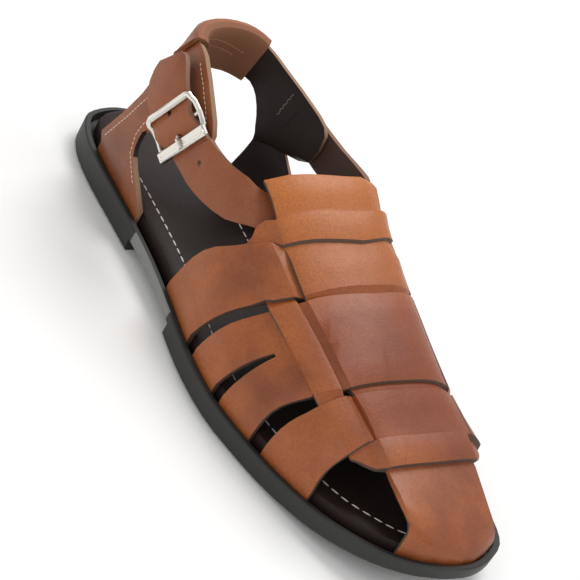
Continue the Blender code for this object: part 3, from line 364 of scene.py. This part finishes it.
def plain(name, colour, roughness, relief=0.0, grain=0.4, metallic=0.0, ior=1.5):
    """One colour with a fine irregular surface, its grain in millimetres.

    Real suede, rubber and plate are finer, and are drawn as coarse as this so that it shows.
    """
    material, tree, shader = new_material(name)
    shader.inputs["Base Color"].default_value = colour
    shader.inputs["Roughness"].default_value = roughness
    shader.inputs["Metallic"].default_value = metallic
    shader.inputs["IOR"].default_value = ior
    if relief:
        where = add_node(tree, "ShaderNodeTexCoord").outputs["Object"]
        rough = add_node(tree, "ShaderNodeTexNoise", {
            "Vector": where, "Scale": 1 / (grain * MILLIMETRE), "Detail": 6.0})
        bump = add_node(tree, "ShaderNodeBump", {
            "Height": rough.outputs["Fac"], "Strength": relief, "Distance": 0.1 * MILLIMETRE})
        tree.links.new(bump.outputs["Normal"], shader.inputs["Normal"])
    return material


def copied(node):
    """A merged copy of a CAD node as a bmesh, in its place on the sandal."""
    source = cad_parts[node]
    work = bmesh.new()
    mesh = source.data.copy()
    mesh.transform(source.matrix_world)
    work.from_mesh(mesh)
    bpy.data.meshes.remove(mesh)
    bmesh.ops.remove_doubles(work, verts=work.verts, dist=MERGE)
    bmesh.ops.dissolve_limit(
        work, angle_limit=SAME_PLANE, verts=work.verts, edges=work.edges)
    for face in work.faces:
        face.material_index = 0
    return work


def round_edges(work, width, sharper_than=SHARP):
    """Rounds every edge sharper than this angle."""
    edges = [e for e in work.edges if e.is_manifold and e.calc_face_angle(0.0) > sharper_than]
    bmesh.ops.bevel(
        work, geom=edges, offset=width, offset_type="OFFSET", segments=2, profile=0.5,
        affect="EDGES", clamp_overlap=True, material=-1)


def to_object(work, name, materials, nodes=()):
    """The finished piece, riding on the sandal, with its sharp edges marked."""
    angle = bpy.context.scene.sandal_leather.smooth_angle
    for face in work.faces:
        face.smooth = True
    for edge in work.edges:
        edge.smooth = not (edge.is_manifold and edge.calc_face_angle(0.0) > angle)
    mesh = bpy.data.meshes.new(name)
    work.to_mesh(mesh)
    work.free()
    obj = bpy.data.objects.new(name, mesh)
    bpy.context.scene.collection.objects.link(obj)
    for material in materials:
        mesh.materials.append(material)
    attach(obj, "root")
    if nodes:
        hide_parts(*nodes)
    return obj


def paint_sides(work, centre_of, lining, edge, tilt=0.35):
    """Gives faces that look at the foot one material slot, and cut edges another.

    The normal of a cut edge leans towards the foot or away from it by less than the tilt.
    """
    for face in work.faces:
        middle = face.calc_center_median()
        away = (middle - centre_of(middle)).normalized()
        facing = face.normal.dot(away)
        if facing < -tilt:
            face.material_index = lining
        elif facing < tilt:
            face.material_index = edge


def foot_axis(point):
    """The point of the foot's middle line beside this one."""
    across, toe, up = FOOT_LINE
    return Vector((across, max(point.y, toe), up))


def ankle_axis(point):
    """The point of the ankle's upright middle line at this height."""
    across, front, rear = ANKLE_LINE
    return Vector((across, min(max(point.y, front), rear), point.z))


def stitch_row(work, hits, thread, length):
    """Adds one stitch at each hit, lying along the row and flattened on the surface."""
    for index, (point, normal) in enumerate(hits):
        ahead = hits[min(index + 1, len(hits) - 1)][0] - hits[max(index - 1, 0)][0]
        up = normal.normalized()
        along = (ahead - up * ahead.dot(up)).normalized()
        side = up.cross(along)
        sides = (along * length, side * thread, up * thread * STITCH_HEIGHT)
        turn = Matrix(sides).transposed().to_4x4()
        bmesh.ops.create_icosphere(
            work, subdivisions=2, radius=0.5, matrix=Matrix.Translation(point) @ turn)


def evenly(points, pitch):
    """Points this far apart along a line."""
    result = [points[0]]
    left = pitch
    for start, end in zip(points, points[1:]):
        span = (end - start).length
        way = left
        while way <= span:
            result.append(start.lerp(end, way / span))
            way += pitch
        left = way - span
    return result


def landed(tree, line, way, pitch):
    """Where rays that start this far apart along a line land: a place and a normal each."""
    hits = [tree.ray_cast(spot, Vector(way))[:2] for spot in evenly(line, pitch)]
    return [hit for hit in hits if hit[0] is not None]


def tree_of(node):
    """Search tree of a CAD node in its place on the sandal."""
    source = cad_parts[node]
    work = bmesh.new()
    work.from_mesh(source.data)
    work.transform(source.matrix_world)
    found = BVHTree.FromBMesh(work)
    work.free()
    return found


def dropped(tree, x, y):
    """Where a point above the sandal lands on the piece: place and normal, or None twice."""
    return tree.ray_cast(Vector((x, y, RAY_HEIGHT)), Vector((0, 0, -1)))[:2]


def reach(tree, start, way, step=0.1 * MILLIMETRE):
    """Distance from the middle line to the footbed's rim."""
    far = 0.0
    while dropped(tree, start.x + way.x * (far + step), start.y + way.y * (far + step))[0]:
        far += step
    return far


def footbed_ring(tree, inset):
    """Points of the footbed's stitch line, found from the middle line outwards."""
    spine = [Vector((FOOT_LINE[0], y * MILLIMETRE, 0.0)) for y in range(*FOOTBED_SPINE)]
    turns = [math.pi * step / FOOTBED_TURNS for step in range(1, FOOTBED_TURNS)]
    rays = [(point, Vector((1, 0, 0))) for point in spine]
    rays += [(spine[-1], Vector((math.cos(a), math.sin(a), 0))) for a in turns]
    rays += [(point, Vector((-1, 0, 0))) for point in reversed(spine)]
    rays += [(spine[0], Vector((-math.cos(a), -math.sin(a), 0))) for a in turns]
    return [start + way * (reach(tree, start, way) - inset) for start, way in rays]


class SANDAL_OT_outsole(bpy.types.Operator):
    """Dress the outsole with black rubber"""

    bl_idname = "sandal.outsole"
    bl_label = "Outsole"

    def execute(self, context):
        colours = context.scene.sandal_colours
        work = copied("outsole")
        # Matt moulded rubber, nearly black, with a paler grey painted on the waist's wall as light
        # thrown up from the white floor
        rubber = plain("moulded_black_rubber", colours.rubber, 0.6,
                       relief=0.35, grain=0.35, ior=1.52)
        facet = plain("rubber_facet_painted_floor_light", linear("#7E807C"), 0.5,
                      relief=0.2, grain=0.35, ior=1.52)
        # Painted light: the waist's outward faces get the paler grey that stands in for light from
        # the floor
        for face in work.faces:
            middle = face.calc_center_median()
            outward = face.normal.x * math.copysign(1.0, middle.x) > WAIST_OUTWARD
            if outward and abs(middle.x) > WAIST_APART and WAIST[0] < middle.y < WAIST[1]:
                face.material_index = 1
        width = context.scene.sandal_leather.edge_round * RUBBER_ROUND
        round_edges(work, width, RUBBER_SHARP)
        to_object(work, "outsole_rubber", [rubber, facet], ["outsole"])
        return {"FINISHED"}


class SANDAL_OT_footbed(bpy.types.Operator):
    """Dress the footbed with dark leather and its stitch line"""

    bl_idname = "sandal.footbed"
    bl_label = "Footbed"

    def execute(self, context):
        sizes = context.scene.sandal_stitches
        colours = context.scene.sandal_colours
        work = copied("footbed")
        # Smooth dark brown leather with a soft shine on its rolled rim
        cover = leather("dark_footbed_leather", colours.footbed, linear("#241611"),
                        linear("#1B110D"), roughness=0.5, coat=0.0, relief=0.15, gloss=0.22)
        to_object(work, "footbed_cover", [cover], ["footbed"])
        tree = tree_of("footbed")
        points = footbed_ring(tree, sizes.footbed_inset)
        spots = evenly(points + points[:1], sizes.footbed_pitch)
        hits = [dropped(tree, spot.x, spot.y) for spot in spots]
        # Thick waxed thread, off-white and matt
        thread = plain("white_waxed_thread", colours.footbed_thread, 0.6,
                       relief=0.3, grain=0.2)
        sewn = bmesh.new()
        stitch_row(sewn, hits, sizes.footbed_thread, sizes.footbed_pitch * sizes.share)
        to_object(sewn, "footbed_stitches", [thread])
        return {"FINISHED"}


class SANDAL_OT_upper(bpy.types.Operator):
    """Dress the woven straps with cognac leather"""

    bl_idname = "sandal.upper"
    bl_label = "Woven upper"

    def execute(self, context):
        colours = context.scene.sandal_colours
        work = copied("upper")
        # Waxed cognac leather with a soft gloss, burnished darker in clouds
        face = leather("cognac_waxed_leather", colours.cognac, colours.deep, colours.burnished,
                       tone=(colours.instep, colours.ball))
        # Dark suede against the foot, quite matt
        lining = plain("dark_suede_lining", linear("#3A2B29"), 0.85, relief=0.5, grain=0.5)
        # Raw cut edges, grey-brown and rough, painted darker as the shade that falls in the gaps
        # between the straps
        edge = plain("raw_edge_and_painted_gap_shade", linear("#5F4A3E"), 0.8, relief=0.6, grain=0.4)
        paint_sides(work, foot_axis, 1, 2)
        round_edges(work, context.scene.sandal_leather.edge_round)
        to_object(work, "woven_straps", [face, lining, edge], ["upper"])
        return {"FINISHED"}


class SANDAL_OT_quarter(bpy.types.Operator):
    """Dress the quarter and the heel sleeve, with their stitches"""

    bl_idname = "sandal.quarter"
    bl_label = "Quarter and sleeve"

    def execute(self, context):
        sizes = context.scene.sandal_stitches
        colours = context.scene.sandal_colours
        # Waxed cognac leather outside, a little deeper than on the straps
        face = leather("cognac_quarter_leather", colours.quarter, linear("#894A27"),
                       linear("#5E301B"))
        # Dark lining leather, smooth with a faint shine
        lining = leather("dark_smooth_lining", linear("#2F2320"), linear("#281D1A"),
                         linear("#211715"), roughness=0.5, coat=0.05, relief=0.15, gloss=0.3)
        # Tan cut edges, matt and rough
        edge = plain("tan_cut_edge", linear("#9C7960"), 0.75, relief=0.5, grain=0.4)
        work = copied("quarter")
        paint_sides(work, ankle_axis, 1, 2)
        round_edges(work, context.scene.sandal_leather.edge_round)
        to_object(work, "quarter_leather", [face, lining, edge], ["quarter"])
        # Soft brown sleeve with a matt nubuck inner face
        skin = leather("soft_sleeve_leather", colours.sleeve, linear("#8A4A26"),
                       linear("#5C2F19"), roughness=0.5, coat=0.12)
        nubuck = plain("sleeve_nubuck", linear("#8B5A3E"), 0.85, relief=0.6, grain=0.5)
        work = copied("heel_sleeve")
        paint_sides(work, ankle_axis, 1, 0, tilt=0.2)
        to_object(work, "sleeve_leather", [skin, nubuck], ["heel_sleeve"])
        # White sewing thread on the lateral side, fine and a little fuzzy
        thread = plain("white_sewing_thread", colours.quarter_thread, 0.55,
                       relief=0.2, grain=0.2)
        tree = tree_of("quarter")
        sewn = bmesh.new()
        for line in QUARTER_LINES.values():
            starts = [Vector((RAY_SIDE, y, z)) for y, z in line]
            hits = landed(tree, starts, (1, 0, 0), sizes.quarter_pitch)
            hits = [hit for hit in hits if hit[0].x < QUARTER_SIDE]
            stitch_row(sewn, hits, sizes.quarter_thread, sizes.quarter_pitch * sizes.share)
        to_object(sewn, "quarter_stitches", [thread])
        # Grey waxed zigzag thread beside a box sewn with thread as dark as the lining
        marks = (("tab_zigzag", TAB_ZIGZAG, "#8C8378"), ("tab_box", TAB_BOX, "#1A1210"))
        for name, line, code in marks:
            starts = [Vector((0.0, y, z)) for y, z in line]
            hits = landed(tree, starts, (1, 0, 0), sizes.tab_pitch)
            sewn = bmesh.new()
            stitch_row(sewn, hits, sizes.quarter_thread, sizes.tab_pitch)
            yarn = plain(name + "_thread", linear(code), 0.6, relief=0.2, grain=0.2)
            to_object(sewn, name, [yarn])
        # Tan thread of the two curved rows inside the sleeve
        tree = tree_of("heel_sleeve")
        sewn = bmesh.new()
        for line in SLEEVE_LINES:
            starts = [Vector((x, RAY_SLEEVE, z)) for x, z in line]
            hits = landed(tree, starts, (0, 1, 0), sizes.quarter_pitch)
            stitch_row(sewn, hits, sizes.quarter_thread, sizes.quarter_pitch * sizes.share)
        yarn = plain("tan_sewing_thread", linear("#B98A55"), 0.6, relief=0.2, grain=0.2)
        to_object(sewn, "sleeve_stitches", [yarn])
        return {"FINISHED"}


class SANDAL_OT_strap(bpy.types.Operator):
    """Dress the ankle strap and the buckle"""

    bl_idname = "sandal.strap"
    bl_label = "Ankle strap and buckle"

    def execute(self, context):
        colours = context.scene.sandal_colours
        # Waxed cognac leather with the straps' soft gloss
        face = leather("cognac_strap_leather", colours.ankle_strap, linear("#894A28"),
                       linear("#62311B"))
        # Rough brown flesh side, quite matt
        lining = plain("strap_back", linear("#4A342B"), 0.85, relief=0.5, grain=0.5)
        # Tan edges, rubbed a little smoother than raw ones
        edge = plain("rubbed_strap_edge", linear("#8A6350"), 0.7, relief=0.4, grain=0.4)
        work = copied("ankle_strap")
        paint_sides(work, ankle_axis, 1, 2)
        round_edges(work, context.scene.sandal_leather.edge_round)
        to_object(work, "strap_leather", [face, lining, edge], ["ankle_strap"])
        # Satin nickel plate, with a soft and slightly uneven shine
        nickel = plain("satin_nickel_plate", colours.nickel, 0.22, relief=0.05, grain=0.3,
                       metallic=1.0)
        work = copied("buckle_frame")
        work.normal_update()
        for vert in work.verts:
            vert.co += vert.normal * PLATING
        round_edges(work, context.scene.sandal_leather.edge_round * NICKEL_ROUND)
        to_object(work, "buckle_nickel", [nickel], ["buckle_frame"])
        to_object(copied("buckle_prong"), "prong_nickel", [nickel], ["buckle_prong"])
        return {"FINISHED"}


class SANDAL_OT_stage(bpy.types.Operator):
    """Set the camera, the pale floor and the soft studio lights"""

    bl_idname = "sandal.stage"
    bl_label = "Stage"

    def execute(self, context):
        stage = context.scene.sandal_stage
        azimuth, elevation, roll = stage.azimuth, stage.elevation, stage.roll
        back = Vector((math.sin(azimuth) * math.cos(elevation),
                       -math.cos(azimuth) * math.cos(elevation), math.sin(elevation)))
        level = Vector((math.cos(azimuth), math.sin(azimuth), 0.0))
        upright = back.cross(level)
        right = level * math.cos(roll) + upright * math.sin(roll)
        up = upright * math.cos(roll) - level * math.sin(roll)
        target = Vector(AIM) - right * AIM_OFF_CENTRE[0] - up * AIM_OFF_CENTRE[1]
        camera = bpy.data.objects.new("camera", bpy.data.cameras.new("camera"))
        camera.data.lens = stage.lens
        camera.data.sensor_width = SENSOR
        turn = Matrix((right, up, back)).transposed().to_4x4()
        camera.matrix_world = Matrix.Translation(target + back * stage.distance) @ turn
        context.scene.collection.objects.link(camera)
        context.scene.camera = camera
        work = bmesh.new()
        bmesh.ops.create_grid(work, x_segments=1, y_segments=1, size=stage.floor_size / 2)
        mesh = bpy.data.meshes.new("floor")
        work.to_mesh(mesh)
        work.free()
        floor = bpy.data.objects.new("floor", mesh)
        # Matt white studio paper
        mesh.materials.append(plain("pale_paper_floor", linear("#FDFDFC"), 0.9))
        context.scene.collection.objects.link(floor)
        for name, place, power, size in LIGHTS:
            lamp = bpy.data.objects.new(name, bpy.data.lights.new(name, "AREA"))
            lamp.data.energy = power
            lamp.data.size = size
            lamp.location = place
            lamp.rotation_euler = Vector(place).to_track_quat("Z", "Y").to_euler()
            context.scene.collection.objects.link(lamp)
        world = bpy.data.worlds.new("studio")
        world.use_nodes = True
        world.node_tree.nodes["Background"].inputs["Color"].default_value = linear("#FFFFFF")
        world.node_tree.nodes["Background"].inputs["Strength"].default_value = WORLD_STRENGTH
        context.scene.world = world
        context.scene.view_settings.view_transform = "Standard"
        return {"FINISHED"}


class SANDAL_PT_panel(bpy.types.Panel):
    """Buttons and sizes of the sandal"""

    bl_idname = "SANDAL_PT_panel"
    bl_label = "Fisherman sandal"
    bl_space_type = "VIEW_3D"
    bl_region_type = "UI"
    bl_category = "Sandal"

    def draw(self, context):
        layout = self.layout
        for operator in OPERATORS:
            layout.operator(operator.bl_idname)
        for group in dict(GROUPS):
            values = getattr(context.scene, group)
            box = layout.box()
            for name in values.bl_rna.properties.keys():
                if name not in ("rna_type", "name"):
                    box.prop(values, name)


GROUPS = (
    ("sandal_colours", SandalColours),
    ("sandal_leather", SandalLeather),
    ("sandal_stitches", SandalStitches),
    ("sandal_stage", SandalStage),
)
OPERATORS = (
    SANDAL_OT_outsole,
    SANDAL_OT_footbed,
    SANDAL_OT_upper,
    SANDAL_OT_quarter,
    SANDAL_OT_strap,
    SANDAL_OT_stage,
)


def register():
    for name, group in GROUPS:
        bpy.utils.register_class(group)
        setattr(bpy.types.Scene, name, PointerProperty(type=group))
    for operator in OPERATORS:
        bpy.utils.register_class(operator)
    bpy.utils.register_class(SANDAL_PT_panel)


def unregister():
    bpy.utils.unregister_class(SANDAL_PT_panel)
    for operator in reversed(OPERATORS):
        bpy.utils.unregister_class(operator)
    for name, group in reversed(GROUPS):
        delattr(bpy.types.Scene, name)
        bpy.utils.unregister_class(group)


def main():
    register()
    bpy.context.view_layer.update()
    for operator in OPERATORS:
        group, name = operator.bl_idname.split(".")
        getattr(getattr(bpy.ops, group), name)()


if __name__ == "__main__":
    main()
